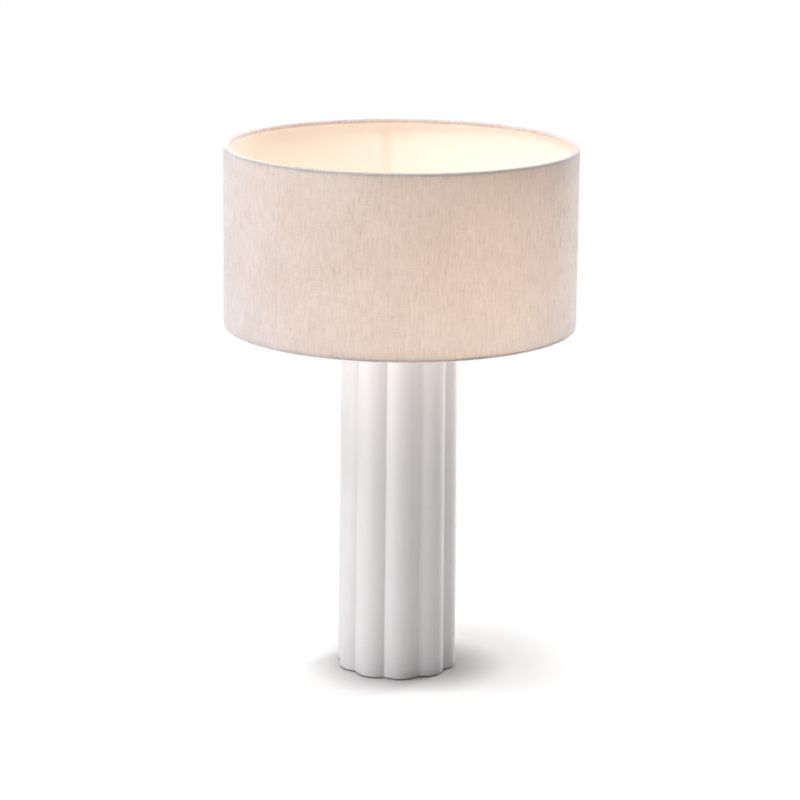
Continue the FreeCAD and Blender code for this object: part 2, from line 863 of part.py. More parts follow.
pieces = {
    "column_body": make_column_body,
    "felt_pad": make_felt_pad,
    "cord_grommet": make_cord_grommet,
    "threaded_tube": make_threaded_tube,
    "hex_nut": make_hex_nut,
    "lock_washer": make_lock_washer,
    "steel_washer": make_steel_washer,
    "rubber_washer": make_rubber_washer,
    "top_plate": make_top_plate,
    "neck_collar": make_neck_collar,
    "holder_cap": make_holder_cap,
    "entry_lock_screw": make_entry_lock_screw,
    "holder_barrel": make_holder_barrel,
    "porcelain_insert": make_porcelain_insert,
    "screw_shell": make_screw_shell,
    "centre_contact": make_centre_contact,
    "terminal_screws": make_terminal_screws,
    "terminal_blocks": make_terminal_blocks,
    "lower_shade_ring": make_lower_shade_ring,
    "upper_shade_ring": make_upper_shade_ring,
    "bulb_tip_contact": make_bulb_tip_contact,
    "bulb_insulator": make_bulb_insulator,
    "bulb_screw_cap": make_bulb_screw_cap,
    "bulb_housing": make_bulb_housing,
    "bulb_board": make_bulb_board,
    "bulb_chips": make_bulb_chips,
    "bulb_driver_board": make_bulb_driver_board,
    "bulb_driver_parts": make_bulb_driver_parts,
    "bulb_globe": make_bulb_globe,
    "top_wire_ring": make_top_wire_ring,
    "bottom_wire_ring": make_bottom_wire_ring,
    "shade_hub": make_shade_hub,
    "shade_spokes": make_shade_spokes,
    "shade_linen": make_shade_linen,
    "shade_lining": make_shade_lining,
}

os.makedirs("parts", exist_ok=True)
for name, make in pieces.items():
    shape = make()
    shape.exportStep("parts/" + name + ".step")
    box = shape.BoundBox
    print(f"{name:20s} solids {len(shape.Solids)} valid {shape.isValid()} volume {shape.Volume:10.1f} "
          f"z {box.ZMin:7.2f} to {box.ZMax:7.2f}, radius {max(box.XMax, box.YMax):6.2f}")

print("bulb lifts", lamp_height - bulb_low + bulb_lift_spare)
print("cord hole from", grommet_inner_seat() - grommet_flange_thickness,
      "to", grommet_seat() + grommet_flange_thickness, "at height", grommet_height)
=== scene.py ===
import math

import bmesh
import bpy
from mathutils import Matrix, Vector


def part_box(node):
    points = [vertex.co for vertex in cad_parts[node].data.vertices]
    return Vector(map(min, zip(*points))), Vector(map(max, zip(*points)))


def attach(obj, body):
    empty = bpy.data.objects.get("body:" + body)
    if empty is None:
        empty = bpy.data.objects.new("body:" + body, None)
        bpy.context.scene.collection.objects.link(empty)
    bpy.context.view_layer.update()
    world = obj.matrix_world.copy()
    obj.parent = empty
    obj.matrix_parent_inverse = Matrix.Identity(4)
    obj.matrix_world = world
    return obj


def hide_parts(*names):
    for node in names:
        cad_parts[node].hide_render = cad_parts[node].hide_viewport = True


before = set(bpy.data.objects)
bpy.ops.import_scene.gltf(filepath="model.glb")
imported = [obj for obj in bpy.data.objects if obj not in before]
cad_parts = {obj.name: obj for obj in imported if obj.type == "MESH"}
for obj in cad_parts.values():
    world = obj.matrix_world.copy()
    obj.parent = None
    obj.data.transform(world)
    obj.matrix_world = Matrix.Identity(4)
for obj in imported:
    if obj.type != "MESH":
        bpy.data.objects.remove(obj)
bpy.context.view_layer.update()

# Camera
# It looks down on the lamp by about 14 degrees, from a little left of the front lobe, through a
# long lens, so that the drum's two rims show as flat ellipses.
camera_data = bpy.data.cameras.new("camera")
camera_data.lens = 135.0
camera_data.sensor_width = 36.0
camera_turn = math.radians(-5.3)
camera_pitch = 0.239
camera_roll = 0.0105
camera_distance = 3.338
camera_height = 1.128
camera_side = 0.0011
camera = bpy.data.objects.new("camera", camera_data)
bpy.context.scene.collection.objects.link(camera)
camera.matrix_world = (
    Matrix.Rotation(camera_turn, 4, "Z")
    @ Matrix.Translation((camera_side, -camera_distance, camera_height))
    @ Matrix.Rotation(math.pi / 2 - camera_pitch, 4, "X")
    @ Matrix.Rotation(camera_roll, 4, "Z"))
bpy.context.scene.camera = camera
bpy.context.scene.view_settings.view_transform = "Standard"


# Studio floor
# White paper that keeps the lamp's soft shadow round the foot and is plain white 0.2 m away from it.
# It is clear from below, and has a hole under the foot through which a small lamp lights the felt.
def linear(code):
    """A linear colour from an sRGB hex value."""
    parts = [int(code[i:i + 2], 16) / 255 for i in (0, 2, 4)]
    return [p / 12.92 if p <= 0.04045 else ((p + 0.055) / 1.055) ** 2.4 for p in parts] + [1.0]


def node(tree, kind, settings=None, inputs=None):
    """Adds a shader node to a node tree, with its settings and its inputs set or linked."""
    made = tree.nodes.new("ShaderNode" + kind)
    for name, value in (settings or {}).items():
        setattr(made, name, value)
    for name, value in (inputs or {}).items():
        if isinstance(value, bpy.types.NodeSocket):
            tree.links.new(value, made.inputs[name])
        else:
            made.inputs[name].default_value = value
    return made


def blank_material(name):
    """A new material with an empty node tree."""
    made = bpy.data.materials.new(name)
    made.use_nodes = True
    made.node_tree.nodes.clear()
    return made


def looked_at(tree):
    """1 for what is seen straight on, in a gloss or through glass, and 0 for light that falls on the lamp."""
    path = node(tree, "LightPath").outputs
    seen = node(tree, "Math", {"operation": "MAXIMUM"}, {0: path["Is Camera Ray"], 1: path["Is Glossy Ray"]})
    # Light through cloth counts as both transmitted and diffuse, and light through glass isn't diffuse.
    glass = node(tree, "Math", {"operation": "GREATER_THAN"}, {
        0: path["Is Transmission Ray"], 1: path["Is Diffuse Ray"]})
    return node(tree, "Math", {"operation": "MAXIMUM"}, {0: seen.outputs[0], 1: glass.outputs[0]}).outputs[0]


floor_radius = 12.0
floor_sides = 96
floor_drop = 0.0001
shadow_middle = (0.03, 0.0, 0.0)
shadow_fade_start = 0.12
shadow_fade_end = 0.24
paper_lift = 0.05
contact_middle = (0.01, -0.012, 0.0)
contact_start = 0.05
contact_end = 0.125
contact_white = 0.44
open_white = 0.79
hidden_radius = 0.0605

paper = blank_material("white_studio_paper")
tree = paper.node_tree
place = node(tree, "TexCoord")
# The room's own light is low here, so the shade that it leaves close round the foot is drawn into the paper.
from_foot = node(tree, "VectorMath", {"operation": "DISTANCE"}, {
    0: place.outputs["Object"], 1: contact_middle})
contact = node(tree, "MapRange", {"interpolation_type": "SMOOTHSTEP"}, {
    "Value": from_foot.outputs["Value"], "From Min": contact_start, "From Max": contact_end,
    "To Min": contact_white, "To Max": open_white})
matt = node(tree, "BsdfDiffuse", inputs={"Color": contact.outputs[0]})
lift = node(tree, "Emission", inputs={"Color": linear("FFFFFF"), "Strength": paper_lift})
near = node(tree, "AddShader", inputs={0: matt.outputs[0], 1: lift.outputs[0]})
far = node(tree, "Emission", inputs={"Color": linear("FFFFFF"), "Strength": 1.0})
away = node(tree, "VectorMath", {"operation": "DISTANCE"}, {0: place.outputs["Object"], 1: shadow_middle})
fade = node(tree, "MapRange", {"interpolation_type": "SMOOTHSTEP"}, {
    "Value": away.outputs["Value"], "From Min": shadow_fade_start, "From Max": shadow_fade_end})
sweep = node(tree, "MixShader", inputs={0: fade.outputs[0], 1: near.outputs[0], 2: far.outputs[0]})
both = node(tree, "MixShader", inputs={0: looked_at(tree), 1: matt.outputs[0], 2: sweep.outputs[0]})
from_below = node(tree, "NewGeometry").outputs["Backfacing"]
to_axis = node(tree, "VectorMath", {"operation": "LENGTH"}, {0: place.outputs["Object"]})
under_foot = node(tree, "Math", {"operation": "LESS_THAN"}, {0: to_axis.outputs["Value"], 1: hidden_radius})
unseen = node(tree, "Math", {"operation": "MAXIMUM"}, {0: from_below, 1: under_foot.outputs[0]})
clear = node(tree, "BsdfTransparent")
shown = node(tree, "MixShader", inputs={0: unseen.outputs[0], 1: both.outputs[0], 2: clear.outputs[0]})
node(tree, "OutputMaterial", inputs={"Surface": shown.outputs[0]})

bm = bmesh.new()
bmesh.ops.create_circle(bm, cap_ends=True, radius=floor_radius, segments=floor_sides)
bmesh.ops.translate(bm, verts=bm.verts, vec=(0, 0, -floor_drop))
floor_mesh = bpy.data.meshes.new("studio_floor")
bm.to_mesh(floor_mesh)
bm.free()
floor_mesh.materials.append(paper)
floor = bpy.data.objects.new("studio_floor", floor_mesh)
bpy.context.scene.collection.objects.link(floor)


# Studio light
# A dim white room and five soft lamps: a low one on the left for the lobes, a high one on the left for
# the linen, one overhead, one behind on the right for the drum's far edge, and a tiny one under the felt.
def soft_lamp(name, width, power, turn, climb, distance, target):
    """A square light aimed at a height on the table lamp's axis, from a turn and a climb in degrees."""
    turn = math.radians(turn)
    climb = math.radians(climb)
    data = bpy.data.lights.new(name, "AREA")
    data.shape = "SQUARE"
    data.size = width
    data.energy = power
    made = bpy.data.objects.new(name, data)
    made.visible_camera = False
    bpy.context.scene.collection.objects.link(made)
    out = Vector((math.sin(turn) * math.cos(climb), -math.cos(turn) * math.cos(climb), math.sin(climb)))
    made.location = Vector((0, 0, target)) + out * distance
    made.rotation_mode = "QUATERNION"
    made.rotation_quaternion = out.to_track_quat("Z", "Y")


room_light = 0.04
world = bpy.data.worlds.new("white_room")
bpy.context.scene.world = world
world.use_nodes = True
tree = world.node_tree
tree.nodes.clear()
level = node(tree, "Mix", {"data_type": "FLOAT"}, {0: looked_at(tree), 2: room_light, 3: 1.0})
room = node(tree, "Background", inputs={"Color": linear("FFFFFF"), "Strength": level.outputs[0]})
node(tree, "OutputWorld", inputs={"Surface": room.outputs[0]})
soft_lamp("key_lamp", width=0.5, power=4.5, turn=-65, climb=-6, distance=1.0, target=0.18)
soft_lamp("high_lamp", width=1.2, power=39.0, turn=-85, climb=62, distance=2.4, target=0.35)
soft_lamp("top_lamp", width=1.5, power=63.0, turn=0, climb=88, distance=2.4, target=0.35)
soft_lamp("edge_lamp", width=0.6, power=36.0, turn=132, climb=12, distance=2.4, target=0.35)
soft_lamp("foot_lamp", width=0.08, power=0.05, turn=0, climb=-90, distance=0.05, target=0.0)


# Ceramic column
# One slip-cast stoneware tube, open below, with ten rounded lobes that narrow a little towards
# the top. It is dipped in a matt white glaze, which softens the valleys and the two edges.
def piece(bm, name, material, body, replaced=()):
    """Makes an object of a finished bmesh; it rides on a body and stands for the CAD nodes it replaces."""
    bmesh.ops.recalc_face_normals(bm, faces=bm.faces)
    mesh = bpy.data.meshes.new(name)
    bm.to_mesh(mesh)
    bm.free()
    made = bpy.data.objects.new(name, mesh)
    bpy.context.scene.collection.objects.link(made)
    smooth(made, material)
    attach(made, body)
    if replaced:
        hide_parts(*replaced)
    return made


def smooth(made, material, crease=math.radians(38)):
    """Shades a mesh smooth up to its creases, in one material."""
    made.data.polygons.foreach_set("use_smooth", [True] * len(made.data.polygons))
    made.data.set_sharp_from_angle(angle=crease)
    made.data.materials.clear()
    made.data.materials.append(material)


def at_height(bm, height):
    """The edges that lie at one height."""
    return [e for e in bm.edges if all(abs(v.co.z - height) < touching for v in e.verts)]


def lobed_slab(crest_radius, hollow, low, high, inset=0.0):
    """A solid between two heights with the column's outline: one lobe and one valley, turned round."""
    lobe = crest_radius * lobe_share
    centre = crest_radius - lobe
    half = math.pi / lobe_count
    hollow_centre = centre * math.cos(half) + math.sqrt(
        (lobe + hollow) ** 2 - (centre * math.sin(half)) ** 2)
    swing = math.atan2(hollow_centre * math.sin(half), hollow_centre * math.cos(half) - centre)
    bm = bmesh.new()
    start = bm.verts.new((centre + (lobe - inset) * math.cos(swing), -(lobe - inset) * math.sin(swing), low))
    arc = bmesh.ops.spin(bm, geom=[start], cent=(centre, 0, 0), axis=(0, 0, 1), angle=2 * swing,
                         steps=lobe_steps)
    bmesh.ops.spin(bm, geom=arc["geom_last"], axis=(0, 0, -1), angle=2 * (swing - half), steps=valley_steps,
                   cent=(hollow_centre * math.cos(half), hollow_centre * math.sin(half), 0))
    bmesh.ops.spin(bm, geom=bm.verts[:] + bm.edges[:], cent=(0, 0, 0), axis=(0, 0, 1), use_duplicate=True,
                   angle=2 * math.pi * (lobe_count - 1) / lobe_count, steps=lobe_count - 1)
    bmesh.ops.remove_doubles(bm, verts=bm.verts, dist=touching)
    bmesh.ops.rotate(bm, verts=bm.verts, cent=(0, 0, 0), matrix=Matrix.Rotation(-math.pi / 2, 3, "Z"))
    under = bmesh.ops.edgeloop_fill(bm, edges=bm.edges[:])["faces"]
    raised = bmesh.ops.extrude_face_region(bm, geom=under, use_keep_orig=True)["geom"]
    top = [item for item in raised if isinstance(item, bmesh.types.BMVert)]
    bmesh.ops.translate(bm, verts=top, vec=(0, 0, high - low))
    return bm, top


def rounded(bm, height, size, steps):
    """Rounds the edges that lie at one height."""
    bmesh.ops.bevel(bm, geom=at_height(bm, height), offset=size, offset_type="OFFSET", affect="EDGES",
                    segments=steps, profile=0.5, material=-1)


def turned(points, steps):
    """A closed outline of (radius, height) points, turned about Z."""
    bm = bmesh.new()
    verts = [bm.verts.new((r, 0, z)) for r, z in points]
    edges = [bm.edges.new((a, b)) for a, b in zip(verts, verts[1:] + verts[:1])]
    bmesh.ops.spin(bm, geom=verts + edges, cent=(0, 0, 0), axis=(0, 0, 1),
                   angle=2 * math.pi, steps=steps, use_merge=True)
    bmesh.ops.remove_doubles(bm, verts=bm.verts, dist=touching)
    return bm


touching = 1e-6
column_low = 0.0015
column_high = 0.414
crest_radius_foot = 0.0694
crest_radius_top = 0.0665
lobe_count = 10
lobe_share = 0.345
lobe_steps = 28
valley_radius = 0.0016
valley_steps = 8
foot_rounding = 0.0016
shoulder_rounding = 0.004
rounding_steps = 5
ceramic_wall = 0.006
cavity_top = 0.406
tube_hole_radius = 0.00555
cord_hole_radius = 0.006
grommet_pocket_radius = 0.0084
grommet_flange = 0.0018
grommet_pocket_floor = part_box("cord_grommet")[1].y - grommet_flange
cord_hole_height = 0.018
drill_reach = 0.09
drill_sides = 64
tube_drill_length = 0.03
tube_drill_sides = 48

glaze = blank_material("matt_white_glaze")
tree = glaze.node_tree
place = node(tree, "TexCoord").outputs["Object"]
# The glaze lies in slow waves about 14 mm long, and its surface has a fine eggshell tooth of about 0.8 mm.
waves = node(tree, "TexNoise", inputs={"Vector": place, "Scale": 1 / 0.014, "Detail": 2.0, "Roughness": 0.5})
tooth = node(tree, "TexNoise", inputs={"Vector": place, "Scale": 1 / 0.0008, "Detail": 2.0, "Roughness": 0.6})
cloud = node(tree, "TexNoise", inputs={"Vector": place, "Scale": 1 / 0.05, "Detail": 3.0, "Roughness": 0.55})
# Where the glaze is thicker it is a touch cooler and whiter; where thinner, the warm body shows through.
tint = node(tree, "Mix", {"data_type": "RGBA"}, {
    0: cloud.outputs["Fac"], 6: linear("E3E0E1"), 7: linear("E8E5E7")})
sheen_change = node(tree, "MapRange", inputs={
    "Value": waves.outputs["Fac"], "From Min": 0.3, "From Max": 0.7, "To Min": 0.44, "To Max": 0.54})
wavy = node(tree, "Bump", inputs={"Height": waves.outputs["Fac"], "Strength": 0.25, "Distance": 0.0006})
fine = node(tree, "Bump", inputs={
    "Height": tooth.outputs["Fac"], "Strength": 0.12, "Distance": 0.0001, "Normal": wavy.outputs[0]})
skin = node(tree, "BsdfPrincipled", inputs={
    "Base Color": tint.outputs[2], "Roughness": sheen_change.outputs[0], "IOR": 1.52,
    "Normal": fine.outputs[0]})
node(tree, "OutputMaterial", inputs={"Surface": skin.outputs[0]})

bm, top = lobed_slab(crest_radius_foot, valley_radius, column_low, column_high)
narrowing = crest_radius_top / crest_radius_foot
bmesh.ops.scale(bm, verts=top, vec=(narrowing, narrowing, 1))
rounded(bm, column_low, foot_rounding, rounding_steps)
rounded(bm, column_high, shoulder_rounding, rounding_steps)
bmesh.ops.recalc_face_normals(bm, faces=bm.faces)
under = min(bm.faces, key=lambda face: face.calc_center_median().z)
bmesh.ops.inset_region(bm, faces=[under], thickness=ceramic_wall - foot_rounding, use_even_offset=True)
cavity = bmesh.ops.extrude_face_region(bm, geom=[under] + under.edges[:])["geom"]
ceiling = [item for item in cavity if isinstance(item, bmesh.types.BMVert)]
bmesh.ops.translate(bm, verts=ceiling, vec=(0, 0, cavity_top - column_low))
bmesh.ops.scale(bm, verts=ceiling, vec=(narrowing, narrowing, 1))
column = piece(bm, "ceramic_column", glaze, "stand", ["column_body"])

# The drill leaves a stepped hole for the grommet at the back and a plain one for the tube on top.
cutter_bm = turned([
    (0, ceramic_wall), (cord_hole_radius, ceramic_wall), (cord_hole_radius, grommet_pocket_floor),
    (grommet_pocket_radius, grommet_pocket_floor), (grommet_pocket_radius, drill_reach),
    (0, drill_reach)], drill_sides)
bmesh.ops.rotate(cutter_bm, verts=cutter_bm.verts, cent=(0, 0, 0),
                 matrix=Matrix.Rotation(-math.pi / 2, 3, "X"))
bmesh.ops.translate(cutter_bm, verts=cutter_bm.verts, vec=(0, 0, cord_hole_height))
bmesh.ops.create_cone(cutter_bm, cap_ends=True, segments=tube_drill_sides, radius1=tube_hole_radius,
                      radius2=tube_hole_radius, depth=tube_drill_length,
                      matrix=Matrix.Translation((0, 0, (cavity_top + column_high) / 2)))
bmesh.ops.recalc_face_normals(cutter_bm, faces=cutter_bm.faces)
cutter_mesh = bpy.data.meshes.new("column_drill")
cutter_bm.to_mesh(cutter_mesh)
cutter_bm.free()
cutter = bpy.data.objects.new("column_drill", cutter_mesh)
bpy.context.scene.collection.objects.link(cutter)
drilling = column.modifiers.new("drilled_holes", "BOOLEAN")
drilling.operation = "DIFFERENCE"
drilling.solver = "EXACT"
drilling.object = cutter
drilled = bpy.data.meshes.new_from_object(column.evaluated_get(bpy.context.evaluated_depsgraph_get()))
column.modifiers.clear()
column.data = drilled
bpy.data.objects.remove(cutter)
smooth(column, glaze)

# Felt pad
# Pressed grey wool felt, die cut to the foot's outline and glued under it, 1.5 mm thick.
# Its cut edge is slightly rounded.
felt_inset = 0.0024
felt_high = 0.0015
felt_rounding = 0.0004
felt_rounding_steps = 2

felt_wool = blank_material("pressed_wool_felt")
tree = felt_wool.node_tree
place = node(tree, "TexCoord").outputs["Object"]
# Matted hair, drawn in strands 0.5 mm thick so that it shows, and tufts of about 3 mm.
hair = node(tree, "TexNoise", inputs={
    "Vector": place, "Scale": 1 / 0.0005, "Detail": 4.0, "Roughness": 0.7, "Distortion": 1.5})
tuft = node(tree, "TexNoise", inputs={"Vector": place, "Scale": 1 / 0.003, "Detail": 2.0})
mixed = node(tree, "Math", {"operation": "ADD"}, {0: hair.outputs["Fac"], 1: tuft.outputs["Fac"]})
spread = node(tree, "MapRange", inputs={"Value": mixed.outputs[0], "From Min": 0.6, "From Max": 1.4})
grey = node(tree, "Mix", {"data_type": "RGBA"}, {
    0: spread.outputs[0], 6: linear("8E8B86"), 7: linear("C9C6C0")})
nap = node(tree, "Bump", inputs={"Height": mixed.outputs[0], "Strength": 0.6, "Distance": 0.0004})
wool = node(tree, "BsdfPrincipled", inputs={
    "Base Color": grey.outputs[2], "Roughness": 0.95, "Sheen Weight": 0.4, "Sheen Roughness": 0.6,
    "Normal": nap.outputs[0]})
node(tree, "OutputMaterial", inputs={"Surface": wool.outputs[0]})

bm, top = lobed_slab(crest_radius_foot, valley_radius, 0.0, felt_high, felt_inset)
rounded(bm, 0.0, felt_rounding, felt_rounding_steps)
felt_area = max(face.calc_area() for face in bm.faces)
felt = piece(bm, "felt_pad_pressed", felt_wool, "stand", ["felt_pad"])


# Grommet and rubber washer
# Moulded grey rubber with a dull, slightly bloomed skin. The grommet snaps into the hole at
# the foot and keeps the flex off the ceramic edge.
def dress(material, *names):
    """Gives CAD nodes their finish."""
    for name in names:
        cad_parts[name].data.materials.clear()
        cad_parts[name].data.materials.append(material)


rubber = blank_material("moulded_grey_rubber")
tree = rubber.node_tree
place = node(tree, "TexCoord").outputs["Object"]
# Bloom comes in patches about 4 mm wide over a 0.3 mm moulded grain.
bloom = node(tree, "TexNoise", inputs={"Vector": place, "Scale": 1 / 0.004, "Detail": 3.0})
grain = node(tree, "TexNoise", inputs={"Vector": place, "Scale": 1 / 0.0003, "Detail": 2.0})
shade = node(tree, "Mix", {"data_type": "RGBA"}, {
    0: bloom.outputs["Fac"], 6: linear("A9A8A6"), 7: linear("BDBCB9")})
pits = node(tree, "Bump", inputs={"Height": grain.outputs["Fac"], "Strength": 0.3, "Distance": 0.00005})
skin = node(tree, "BsdfPrincipled", inputs={
    "Base Color": shade.outputs[2], "Roughness": 0.7, "IOR": 1.52, "Normal": pits.outputs[0]})
node(tree, "OutputMaterial", inputs={"Surface": skin.outputs[0]})
dress(rubber, "cord_grommet", "rubber_washer")

# Threaded tube, nut, washers and small screws
# Bright zinc-plated steel, drawn or pressed and then barrel plated, so faint scratches run all ways.
zinc = blank_material("bright_zinc_plate")
tree = zinc.node_tree
place = node(tree, "TexCoord").outputs["Object"]
# Spangle patches of about 2 mm and tumbling scratches, drawn 0.6 mm wide so that they show.
spangle = node(tree, "TexNoise", inputs={"Vector": place, "Scale": 1 / 0.002, "Detail": 3.0})
scratch = node(tree, "TexNoise", inputs={
    "Vector": place, "Scale": 1 / 0.0006, "Detail": 3.0, "Distortion": 3.0})
shade = node(tree, "Mix", {"data_type": "RGBA"}, {
    0: spangle.outputs["Fac"], 6: linear("C3C6C9"), 7: linear("D6D7D6")})
rough = node(tree, "MapRange", inputs={"Value": spangle.outputs["Fac"], "To Min": 0.22, "To Max": 0.42})
marks = node(tree, "Bump", inputs={"Height": scratch.outputs["Fac"], "Strength": 0.15, "Distance": 0.00003})
skin = node(tree, "BsdfPrincipled", inputs={
    "Base Color": shade.outputs[2], "Metallic": 1.0, "Roughness": rough.outputs[0],
    "Normal": marks.outputs[0]})
node(tree, "OutputMaterial", inputs={"Surface": skin.outputs[0]})
dress(zinc, "threaded_tube", "hex_nut", "lock_washer", "steel_washer", "entry_lock_screw", "terminal_screws")

# Top plate and neck collar, and the shade's wire frame
# Mild steel, powder coated satin white and baked, which leaves a soft orange peel. The plate
# hides the hole in the column's top, and the spokes are welded to the hub.
coat = blank_material("white_powder_coat")
tree = coat.node_tree
place = node(tree, "TexCoord").outputs["Object"]
# Orange peel of about 0.9 mm; speckle of the powder about 0.25 mm.
peel = node(tree, "TexNoise", inputs={"Vector": place, "Scale": 1 / 0.0009, "Detail": 2.0})
speck = node(tree, "TexNoise", inputs={"Vector": place, "Scale": 1 / 0.00025, "Detail": 1.0})
shade = node(tree, "Mix", {"data_type": "RGBA"}, {
    0: speck.outputs["Fac"], 6: linear("E4E3DE"), 7: linear("EFEEEA")})
bumps = node(tree, "Bump", inputs={"Height": peel.outputs["Fac"], "Strength": 0.3, "Distance": 0.00008})
skin = node(tree, "BsdfPrincipled", inputs={
    "Base Color": shade.outputs[2], "Roughness": 0.42, "IOR": 1.5, "Normal": bumps.outputs[0]})
node(tree, "OutputMaterial", inputs={"Surface": skin.outputs[0]})
dress(coat, "top_plate", "neck_collar", "top_wire_ring", "bottom_wire_ring", "shade_hub", "shade_spokes")

# Lampholder and shade rings
# Injection-moulded white thermoplastic with a fine spark-eroded texture. The cap screws on the
# threaded tube, the barrel plugs into the cap, and the two rings clamp the shade's hub.
thermoplastic = blank_material("moulded_white_thermoplastic")
tree = thermoplastic.node_tree
place = node(tree, "TexCoord").outputs["Object"]
# Spark-eroded grain of about 0.2 mm, and slow flow marks about 12 mm long.
grain = node(tree, "TexNoise", inputs={"Vector": place, "Scale": 1 / 0.0002, "Detail": 2.0})
flow = node(tree, "TexNoise", inputs={"Vector": place, "Scale": 1 / 0.012, "Detail": 1.0})
shade = node(tree, "Mix", {"data_type": "RGBA"}, {
    0: flow.outputs["Fac"], 6: linear("E7E5DF"), 7: linear("EDEBE6")})
bumps = node(tree, "Bump", inputs={"Height": grain.outputs["Fac"], "Strength": 0.25, "Distance": 0.00003})
skin = node(tree, "BsdfPrincipled", inputs={
    "Base Color": shade.outputs[2], "Roughness": 0.4, "IOR": 1.5, "Normal": bumps.outputs[0]})
node(tree, "OutputMaterial", inputs={"Surface": skin.outputs[0]})
dress(thermoplastic, "holder_cap", "holder_barrel", "lower_shade_ring", "upper_shade_ring")

# Porcelain insert
# Dry-pressed electrical porcelain, fired without glaze, with pockets for the terminal blocks.
porcelain = blank_material("unglazed_porcelain")
tree = porcelain.node_tree
place = node(tree, "TexCoord").outputs["Object"]
# Pressed grains of about 0.25 mm, and pale iron specks under 1 mm across, about 4 mm apart.
grain = node(tree, "TexNoise", inputs={"Vector": place, "Scale": 1 / 0.00025, "Detail": 3.0})
iron = node(tree, "TexVoronoi", inputs={"Vector": place, "Scale": 1 / 0.004})
fleck = node(tree, "MapRange", inputs={"Value": iron.outputs["Distance"], "From Min": 0.04, "From Max": 0.1})
shade = node(tree, "Mix", {"data_type": "RGBA"}, {
    0: fleck.outputs[0], 6: linear("CDC4B4"), 7: linear("F0EDE5")})
bumps = node(tree, "Bump", inputs={"Height": grain.outputs["Fac"], "Strength": 0.3, "Distance": 0.00004})
skin = node(tree, "BsdfPrincipled", inputs={
    "Base Color": shade.outputs[2], "Roughness": 0.6, "IOR": 1.54, "Normal": bumps.outputs[0]})
node(tree, "OutputMaterial", inputs={"Surface": skin.outputs[0]})
dress(porcelain, "porcelain_insert")

# Screw shell, contacts and terminal blocks
# Stamped and rolled brass, tumbled bright; the contact strip presses on the bulb's tip.
brass = blank_material("tumbled_brass")
tree = brass.node_tree
place = node(tree, "TexCoord").outputs["Object"]
# Tarnish in patches of about 3 mm, tumbling marks of about 0.3 mm.
tarnish = node(tree, "TexNoise", inputs={"Vector": place, "Scale": 1 / 0.003, "Detail": 4.0})
marks = node(tree, "TexNoise", inputs={
    "Vector": place, "Scale": 1 / 0.0003, "Detail": 2.0, "Distortion": 2.0})
shade = node(tree, "Mix", {"data_type": "RGBA"}, {
    0: tarnish.outputs["Fac"], 6: linear("C9A55A"), 7: linear("E2C57E")})
rough = node(tree, "MapRange", inputs={"Value": tarnish.outputs["Fac"], "To Min": 0.2, "To Max": 0.45})
dents = node(tree, "Bump", inputs={"Height": marks.outputs["Fac"], "Strength": 0.2, "Distance": 0.00003})
skin = node(tree, "BsdfPrincipled", inputs={
    "Base Color": shade.outputs[2], "Metallic": 1.0, "Roughness": rough.outputs[0],
    "Normal": dents.outputs[0]})
node(tree, "OutputMaterial", inputs={"Surface": skin.outputs[0]})
dress(brass, "screw_shell", "centre_contact", "terminal_blocks", "bulb_tip_contact")

# Bulb cap
# Rolled brass sheet plated with nickel, crimped to the housing; a black glass bead holds the
# tip contact.
nickel = blank_material("nickel_plated_cap")
tree = nickel.node_tree
place = node(tree, "TexCoord").outputs["Object"]
# Rolling marks that run round the cap, about 0.17 mm apart and 17 mm long.
stretch = node(tree, "Mapping", inputs={"Vector": place, "Scale": (60.0, 60.0, 6000.0)})
rolled = node(tree, "TexNoise", inputs={"Vector": stretch.outputs[0], "Scale": 1.0, "Detail": 2.0})
cloud = node(tree, "TexNoise", inputs={"Vector": place, "Scale": 1 / 0.005, "Detail": 2.0})
shade = node(tree, "Mix", {"data_type": "RGBA"}, {
    0: cloud.outputs["Fac"], 6: linear("C4C0B8"), 7: linear("D8D5CF")})
rough = node(tree, "MapRange", inputs={"Value": rolled.outputs["Fac"], "To Min": 0.18, "To Max": 0.36})
skin = node(tree, "BsdfPrincipled", inputs={
    "Base Color": shade.outputs[2], "Metallic": 1.0, "Roughness": rough.outputs[0]})
node(tree, "OutputMaterial", inputs={"Surface": skin.outputs[0]})
dress(nickel, "bulb_screw_cap")

vitrite = blank_material("black_vitrite_glass")
tree = vitrite.node_tree
place = node(tree, "TexCoord").outputs["Object"]
# The pressed glass has shallow chill ripples about 2 mm apart.
ripple = node(tree, "TexNoise", inputs={"Vector": place, "Scale": 1 / 0.002, "Detail": 1.0})
shade = node(tree, "Mix", {"data_type": "RGBA"}, {
    0: ripple.outputs["Fac"], 6: linear("0E0E10"), 7: linear("1B1A1C")})
bumps = node(tree, "Bump", inputs={"Height": ripple.outputs["Fac"], "Strength": 0.3, "Distance": 0.00008})
skin = node(tree, "BsdfPrincipled", inputs={
    "Base Color": shade.outputs[2], "Roughness": 0.12, "IOR": 1.52, "Normal": bumps.outputs[0]})
node(tree, "OutputMaterial", inputs={"Surface": skin.outputs[0]})
dress(vitrite, "bulb_insulator")

# Bulb housing
# White polycarbonate over an aluminium core, smooth from the mould, which spreads the heat of
# the light board.
housing = blank_material("white_polycarbonate")
tree = housing.node_tree
place = node(tree, "TexCoord").outputs["Object"]
